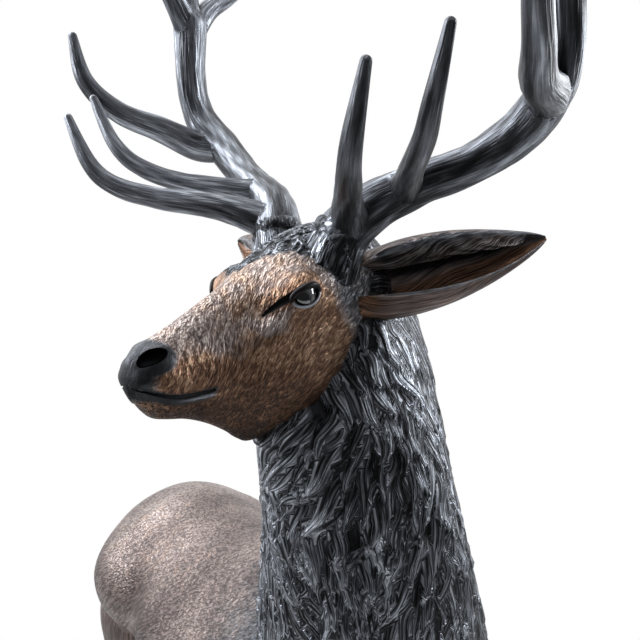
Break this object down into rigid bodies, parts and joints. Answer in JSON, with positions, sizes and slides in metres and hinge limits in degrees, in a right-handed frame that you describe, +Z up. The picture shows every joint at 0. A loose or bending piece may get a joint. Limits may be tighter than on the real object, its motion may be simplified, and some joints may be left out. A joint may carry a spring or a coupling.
{
  "type": "stag statue",
  "caption": "Life-size bronze statue of a standing red deer stag with maned neck, turned head and branched antlers, on a low base.",
  "frame": {"origin": "on the underside of the base, below the middle of the stag's body between its left and right legs", "axes": "+Z is up, the stag's body faces -Y and its left side is on +X; its head is turned towards -X"},
  "size_m": [0.7874, 1.8556, 2.3797],
  "materials": {
    "patinated_bronze": "cast bronze, brown to grey-black patina, waxed",
    "base_bronze": "cast bronze, dark patina"
  },
  "bodies": {
    "root": {"stag": "patinated_bronze", "base": "base_bronze"}
  },
  "joints": []
}
